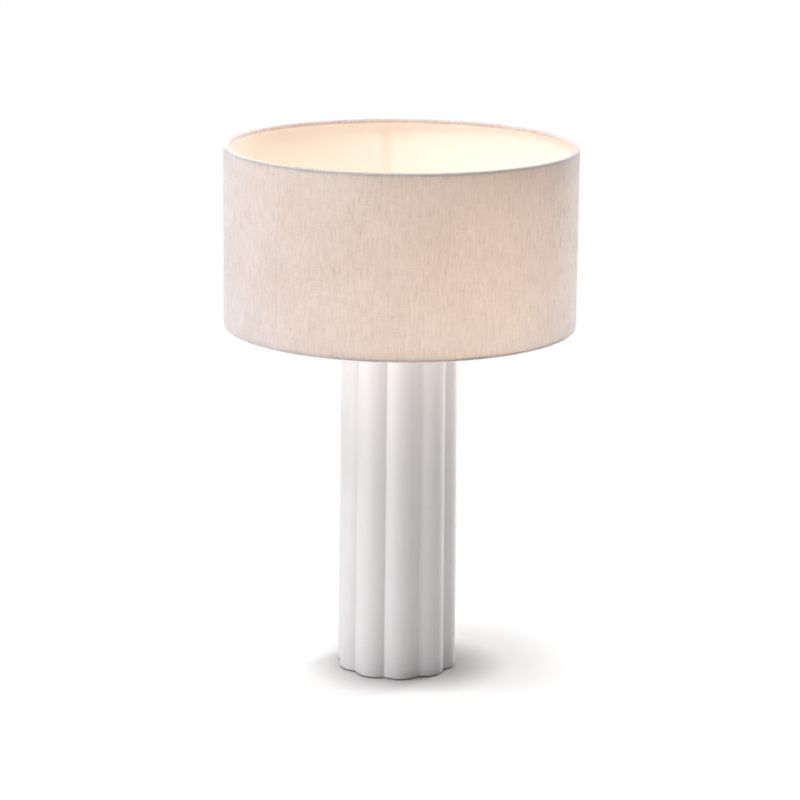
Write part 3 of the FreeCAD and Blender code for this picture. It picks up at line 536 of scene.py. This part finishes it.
# Flow marks about 9 mm long, which change the colour and the gloss a little.
flow = node(tree, "TexNoise", inputs={"Vector": place, "Scale": 1 / 0.009, "Detail": 2.0})
shade = node(tree, "Mix", {"data_type": "RGBA"}, {
    0: flow.outputs["Fac"], 6: linear("EBEAE6"), 7: linear("F2F1EE")})
rough = node(tree, "MapRange", inputs={"Value": flow.outputs["Fac"], "To Min": 0.24, "To Max": 0.34})
skin = node(tree, "BsdfPrincipled", inputs={
    "Base Color": shade.outputs[2], "Roughness": rough.outputs[0], "IOR": 1.58})
node(tree, "OutputMaterial", inputs={"Surface": skin.outputs[0]})
dress(housing, "bulb_housing")

# Light board, light chips and driver, sealed in the bulb
# An aluminium board under a white solder mask with twelve phosphor chips, and below it a green
# laminate with its sleeved capacitor and coil.
mask = blank_material("white_solder_mask")
tree = mask.node_tree
place = node(tree, "TexCoord").outputs["Object"]
# Copper tracks about 1.5 mm wide lie under the mask and lift its colour a little.
track = node(tree, "TexWave", {"wave_type": "RINGS", "rings_direction": "Z"}, {
    "Vector": place, "Scale": 100.0, "Distortion": 0.5})
shade = node(tree, "Mix", {"data_type": "RGBA"}, {
    0: track.outputs["Fac"], 6: linear("E2E4DF"), 7: linear("F1F1EE")})
skin = node(tree, "BsdfPrincipled", inputs={"Base Color": shade.outputs[2], "Roughness": 0.35})
node(tree, "OutputMaterial", inputs={"Surface": skin.outputs[0]})
dress(mask, "bulb_board")

phosphor = blank_material("phosphor_gel")
tree = phosphor.node_tree
place = node(tree, "TexCoord").outputs["Object"]
# Phosphor grains of about 0.1 mm, drawn 0.3 mm wide so that they show.
grain = node(tree, "TexNoise", inputs={"Vector": place, "Scale": 1 / 0.0003, "Detail": 2.0})
shade = node(tree, "Mix", {"data_type": "RGBA"}, {
    0: grain.outputs["Fac"], 6: linear("E8B93F"), 7: linear("F6D774")})
skin = node(tree, "BsdfPrincipled", inputs={
    "Base Color": shade.outputs[2], "Roughness": 0.3, "Emission Color": linear("FFE0A8"),
    "Emission Strength": 0.5})
node(tree, "OutputMaterial", inputs={"Surface": skin.outputs[0]})
dress(phosphor, "bulb_chips")

laminate = blank_material("green_laminate")
tree = laminate.node_tree
place = node(tree, "TexCoord").outputs["Object"]
# The glass cloth in the laminate has threads about 0.5 mm apart.
cloth = node(tree, "TexChecker", inputs={"Vector": place, "Scale": 1 / 0.0005})
shade = node(tree, "Mix", {"data_type": "RGBA"}, {
    0: cloth.outputs["Fac"], 6: linear("1F6B3F"), 7: linear("2A7A4A")})
skin = node(tree, "BsdfPrincipled", inputs={"Base Color": shade.outputs[2], "Roughness": 0.35})
node(tree, "OutputMaterial", inputs={"Surface": skin.outputs[0]})
dress(laminate, "bulb_driver_board")

sleeve = blank_material("shrunk_black_sleeve")
tree = sleeve.node_tree
place = node(tree, "TexCoord").outputs["Object"]
# Shrink wrinkles about 1 mm apart.
wrinkle = node(tree, "TexNoise", inputs={"Vector": place, "Scale": 1 / 0.001, "Detail": 2.0})
shade = node(tree, "Mix", {"data_type": "RGBA"}, {
    0: wrinkle.outputs["Fac"], 6: linear("232428"), 7: linear("33343A")})
bumps = node(tree, "Bump", inputs={"Height": wrinkle.outputs["Fac"], "Strength": 0.4, "Distance": 0.0001})
skin = node(tree, "BsdfPrincipled", inputs={
    "Base Color": shade.outputs[2], "Roughness": 0.4, "Normal": bumps.outputs[0]})
node(tree, "OutputMaterial", inputs={"Surface": skin.outputs[0]})
dress(sleeve, "bulb_driver_parts")

# Globe
# Blow-moulded opal polycarbonate, lit from inside, so that it glows warm and is the lamp's own
# light. A little more of it leaves low on the right, where the blown wall is thinnest.
globe_glow = 0.65
globe_height = 0.53467
globe_radius = 0.03
light_gap = 0.0006
globe_watts = 1.5
thin_side_watts = 0.25
thin_side = Vector((0.5, -0.7, -0.5)).normalized()
warm_white = linear("FFD3A7")[:3]

opal = blank_material("lit_opal_globe")
tree = opal.node_tree
place = node(tree, "TexCoord").outputs["Object"]
# The opal's thickness drifts over about 15 mm, which shades the glow a little.
drift = node(tree, "TexNoise", inputs={"Vector": place, "Scale": 1 / 0.015, "Detail": 1.0})
warm = node(tree, "Mix", {"data_type": "RGBA"}, {
    0: drift.outputs["Fac"], 6: linear("FFCFA0"), 7: linear("FFD4A8")})
skin = node(tree, "BsdfPrincipled", inputs={
    "Base Color": linear("EFE3CF"), "Roughness": 0.3, "IOR": 1.58,
    "Emission Color": warm.outputs[2], "Emission Strength": globe_glow})
node(tree, "OutputMaterial", inputs={"Surface": skin.outputs[0]})
dress(opal, "bulb_globe")

# A round lamp just outside the globe's skin carries its light, and a small disc the thin side's.
round_light = bpy.data.lights.new("globe_light", "POINT")
round_light.shadow_soft_size = globe_radius + light_gap
round_light.use_soft_falloff = False
thin_light = bpy.data.lights.new("thin_side_light", "AREA")
thin_light.shape = "DISK"
thin_light.size = globe_radius
# The globe glows by its own material, so the lamp that lies just outside its skin leaves it alone.
own_glow = bpy.data.collections.new("lit_by_its_own_glow")
own_glow.objects.link(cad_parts["bulb_globe"])
own_glow.collection_objects[0].light_linking.link_state = "EXCLUDE"
for light, watts, spot in (
        (round_light, globe_watts, 0.0),
        (thin_light, thin_side_watts, globe_radius + 2 * light_gap)):
    light.color = warm_white
    light.energy = watts
    held = bpy.data.objects.new(light.name, light)
    held.visible_camera = False
    held.light_linking.receiver_collection = own_glow
    held.location = Vector((0, 0, globe_height)) + thin_side * spot
    held.rotation_mode = "QUATERNION"
    held.rotation_quaternion = thin_side.to_track_quat("-Z", "Y")
    bpy.context.scene.collection.objects.link(held)
    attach(held, "bulb")


# Shade lining
# A smooth warm-white sheet, rolled into a drum and stuck between the two wire rings. It stiffens
# the linen, throws a part of the light back inside and lets most of it through to the cloth.
def drum_map(bm, radius):
    """A UV map in metres: round the drum from its front, and up."""
    layer = bm.loops.layers.uv.new("drum")
    for face in bm.faces:
        middle = face.calc_center_median()
        facing = math.atan2(middle.x, -middle.y)
        for loop in face.loops:
            spot = loop.vert.co
            angle = math.atan2(spot.x, -spot.y)
            angle += 2 * math.pi * round((facing - angle) / (2 * math.pi))
            loop[layer].uv = (angle * radius, spot.z)


lining_outer = 0.19915
lining_inner = 0.1986
lining_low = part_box("shade_lining")[0].z
lining_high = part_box("shade_lining")[1].z
lining_middle = 0.52
lining_open_share = 0.7
lining_low_share = 0.95
drum_steps = 256

lining_sheet = blank_material("warm_white_styrene_sheet")
tree = lining_sheet.node_tree
place = node(tree, "TexCoord").outputs["UV"]
# Calender marks run round the drum, about 5 mm apart and very faint, over 0.6 mm paper tooth.
stretch = node(tree, "Mapping", inputs={"Vector": place, "Scale": (1 / 0.125, 1 / 0.005, 1.0)})
calender = node(tree, "TexNoise", inputs={"Vector": stretch.outputs[0], "Scale": 1.0, "Detail": 2.0})
tooth = node(tree, "TexNoise", inputs={"Vector": place, "Scale": 1 / 0.0006, "Detail": 2.0})
white = node(tree, "Mix", {"data_type": "RGBA"}, {
    0: calender.outputs["Fac"], 6: linear("F5F5F3"), 7: linear("F9F9F8")})
through = node(tree, "Mix", {"data_type": "RGBA"}, {
    0: calender.outputs["Fac"], 6: linear("FCFCFB"), 7: linear("FEFEFE")})
bumps = node(tree, "Bump", inputs={"Height": tooth.outputs["Fac"], "Strength": 0.1, "Distance": 0.00005})
face_side = node(tree, "BsdfPrincipled", inputs={
    "Base Color": white.outputs[2], "Roughness": 0.6, "IOR": 1.5, "Normal": bumps.outputs[0]})
glow = node(tree, "BsdfTranslucent", inputs={"Color": through.outputs[2]})
# The coat thins out towards the lower edge, so that the linen is lit right down to its hem.
up = node(tree, "SeparateXYZ", inputs={0: place}).outputs["Y"]
thinned = node(tree, "MapRange", inputs={
    "Value": up, "From Min": lining_middle, "From Max": lining_low,
    "To Min": lining_open_share, "To Max": lining_low_share})
both = node(tree, "MixShader", inputs={0: thinned.outputs[0], 1: face_side.outputs[0], 2: glow.outputs[0]})
node(tree, "OutputMaterial", inputs={"Surface": both.outputs[0]})

bm = turned([
    (lining_inner, lining_low), (lining_outer, lining_low),
    (lining_outer, lining_high), (lining_inner, lining_high)], drum_steps)
drum_map(bm, lining_outer)
lining = piece(bm, "drum_lining", lining_sheet, "shade", ["shade_lining"])

# Linen cover
# Undyed plain-weave linen with slubs, laminated to the lining with its warp upright. It is turned
# over both wire rings and tucked behind them, and its ends overlap in one glued seam at the back.
linen_outer = 0.2
linen_ply = 0.00065
linen_low, linen_high = (corner.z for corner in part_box("shade_linen"))
hem_inner = 0.19405
hem_height = 0.0046
hem_rounding = 0.0026
hem_steps = 6
soak_start = 0.001
soak_end = 0.003
seam_width = 0.012
seam_thickness = 0.0005
seam_sunk = 0.0002
seam_steps = 8
seam_open_share = 0.94
linen_open_share = 0.7
linen_edge_share = 0.15
glued_share = 0.65

linen = blank_material("slubby_plain_weave_linen")
tree = linen.node_tree
place = node(tree, "TexCoord").outputs["UV"]


def threads(across, along, detail, seed):
    """Noise drawn out along the threads, from the threads' width and length in metres."""
    stretched = node(tree, "Mapping", inputs={
        "Vector": place, "Scale": (1 / across, 1 / along, 1.0), "Location": (seed, seed, 0.0)})
    return node(tree, "TexNoise", {"noise_dimensions": "2D"}, {
        "Vector": stretched.outputs[0], "Scale": 1.0, "Detail": detail, "Roughness": 0.55}).outputs["Fac"]


def joined(first, second, share):
    """Two patterns mixed."""
    return node(tree, "Mix", {"data_type": "FLOAT"}, {0: share, 2: first, 3: second}).outputs[0]


def between(value, low, high):
    """A pattern's values from low to high, spread from 0 to 1."""
    return node(tree, "MapRange", inputs={
        "Value": value, "From Min": low, "From Max": high}).outputs[0]


# The real threads are about 0.7 mm apart. They are drawn 1.5 mm apart, because finer ones don't show.
warp = threads(across=0.0015, along=0.016, detail=2.0, seed=3.0)
long_warp = threads(across=0.0042, along=0.028, detail=3.0, seed=11.0)
weft = threads(across=0.016, along=0.0015, detail=2.0, seed=23.0)
slub = between(threads(across=0.0019, along=0.011, detail=1.0, seed=37.0), 0.66, 0.8)
thin = between(threads(across=0.0019, along=0.017, detail=1.0, seed=53.0), 0.64, 0.74)
cross_slub = between(threads(across=0.02, along=0.0016, detail=1.0, seed=71.0), 0.7, 0.84)
cloud = threads(across=0.06, along=0.05, detail=2.0, seed=91.0)
upright = joined(warp, long_warp, 0.5)
weave = joined(upright, weft, 0.27)
contrast = between(weave, 0.3, 0.7)
raised = node(tree, "Math", {"operation": "ADD"}, {0: contrast, 1: slub})
raised = node(tree, "Math", {"operation": "ADD"}, {0: raised.outputs[0], 1: cross_slub})
yarn = node(tree, "Mix", {"data_type": "RGBA"}, {0: contrast, 6: linear("D0CBCE"), 7: linear("EAE5E9")})
yarn = node(tree, "Mix", {"data_type": "RGBA", "blend_type": "MULTIPLY"}, {
    0: thin, 6: yarn.outputs[2], 7: linear("D6CFCB")})
light_yarn = node(tree, "Mix", {"data_type": "RGBA"}, {0: slub, 6: yarn.outputs[2], 7: linear("EFEBEA")})
faded = node(tree, "Mix", {"data_type": "RGBA", "blend_type": "MULTIPLY"}, {
    0: between(cloud, 0.35, 0.75), 6: light_yarn.outputs[2], 7: linear("F6F2EF")})
# Light comes through between the threads and is held back by the slubs.
gap = node(tree, "Mix", {"data_type": "RGBA"}, {0: contrast, 6: linear("F1F0EF"), 7: linear("FDFCFB")})
gap = node(tree, "Mix", {"data_type": "RGBA", "blend_type": "MULTIPLY"}, {
    0: slub, 6: gap.outputs[2], 7: linear("ECEAE8")})
# Where it is turned in over the rims the cloth is glued and lets less through, and its colour is painted
# darker there as shade.
spot = node(tree, "TexCoord").outputs["Object"]
flat = node(tree, "VectorMath", {"operation": "MULTIPLY"}, {0: spot, 1: (1.0, 1.0, 0.0)})
from_axis = node(tree, "VectorMath", {"operation": "LENGTH"}, {0: flat.outputs[0]}).outputs["Value"]
hem = between(from_axis, linen_outer - soak_start, linen_outer - soak_end)
# Painted shade: the hem band's colour is multiplied darker where less light comes through the cloth.
hem_painted_shade = node(tree, "Mix", {"data_type": "RGBA", "blend_type": "MULTIPLY"}, {
    0: hem, 6: faded.outputs[2], 7: linear("EAE6E2")})
relief = node(tree, "Bump", inputs={"Height": raised.outputs[0], "Strength": 0.55, "Distance": 0.00035})
cloth = node(tree, "BsdfPrincipled", inputs={
    "Base Color": hem_painted_shade.outputs[2], "Roughness": 0.9, "IOR": 1.45, "Specular IOR Level": 0.3,
    "Sheen Weight": 0.25, "Sheen Roughness": 0.5, "Normal": relief.outputs[0]})
glow = node(tree, "BsdfTranslucent", inputs={"Color": gap.outputs[2], "Normal": relief.outputs[0]})
# Seen along the surface, the fuzz and the raised threads close the gaps and add a pale sheen.
fuzz = node(tree, "LayerWeight", inputs={"Blend": 0.5})
open_share = node(tree, "MapRange", inputs={
    "Value": fuzz.outputs["Facing"], "From Min": 0.2, "From Max": 1.0,
    "To Min": linen_open_share, "To Max": linen_edge_share})
open_share.name = "open_share"
closed_by_glue = node(tree, "MapRange", inputs={"Value": hem, "To Min": 1.0, "To Max": glued_share})
let_through = node(tree, "Math", {"operation": "MULTIPLY"}, {
    0: open_share.outputs[0], 1: closed_by_glue.outputs[0]})
both = node(tree, "MixShader", inputs={0: let_through.outputs[0], 1: cloth.outputs[0], 2: glow.outputs[0]})
node(tree, "OutputMaterial", inputs={"Surface": both.outputs[0]})


def rounded_edges(bm, radius, height, size):
    """Rounds the ring of edges at a radius and height."""
    ring = [e for e in bm.edges if all(
        abs(v.co.z - height) < touching and abs(v.co.xy.length - radius) < touching for v in e.verts)]
    bmesh.ops.bevel(bm, geom=ring, offset=size, offset_type="OFFSET", affect="EDGES",
                    segments=hem_steps, profile=0.5, material=-1, clamp_overlap=False)


bm = turned([
    (hem_inner, linen_low + hem_height), (hem_inner, linen_low), (linen_outer, linen_low),
    (linen_outer, linen_high), (hem_inner, linen_high), (hem_inner, linen_high - hem_height),
    (hem_inner + linen_ply, linen_high - hem_height), (hem_inner + linen_ply, linen_high - linen_ply),
    (linen_outer - linen_ply, linen_high - linen_ply), (linen_outer - linen_ply, linen_low + linen_ply),
    (hem_inner + linen_ply, linen_low + linen_ply), (hem_inner + linen_ply, linen_low + hem_height)],
    drum_steps)
for height, inward in ((linen_low, linen_ply), (linen_high, -linen_ply)):
    for radius in (hem_inner, linen_outer):
        rounded_edges(bm, radius, height, hem_rounding)
    for radius in (hem_inner + linen_ply, linen_outer - linen_ply):
        rounded_edges(bm, radius, height + inward, hem_rounding - linen_ply)
drum_map(bm, linen_outer)
cover = piece(bm, "linen_cover", linen, "shade", ["shade_linen"])

# The overlap is glued flat, so light still comes through it as a soft darker stripe.
overlap = linen.copy()
overlap.name = "overlapped_linen"
overlap.node_tree.nodes["open_share"].inputs["To Min"].default_value = seam_open_share
bm = bmesh.new()
half_seam = seam_width / linen_outer / 2
seam_profile = [
    (linen_outer - seam_sunk, linen_low + hem_rounding),
    (linen_outer + seam_thickness, linen_low + hem_rounding),
    (linen_outer + seam_thickness, linen_high - hem_rounding),
    (linen_outer - seam_sunk, linen_high - hem_rounding)]
corners = [bm.verts.new((r * math.sin(-half_seam), r * math.cos(-half_seam), z)) for r, z in seam_profile]
strip = bm.faces.new(corners)
bmesh.ops.spin(bm, geom=[strip] + corners + list(strip.edges), cent=(0, 0, 0), axis=(0, 0, 1),
               angle=-2 * half_seam, steps=seam_steps)
drum_map(bm, linen_outer)
seam = piece(bm, "linen_seam", overlap, "shade")
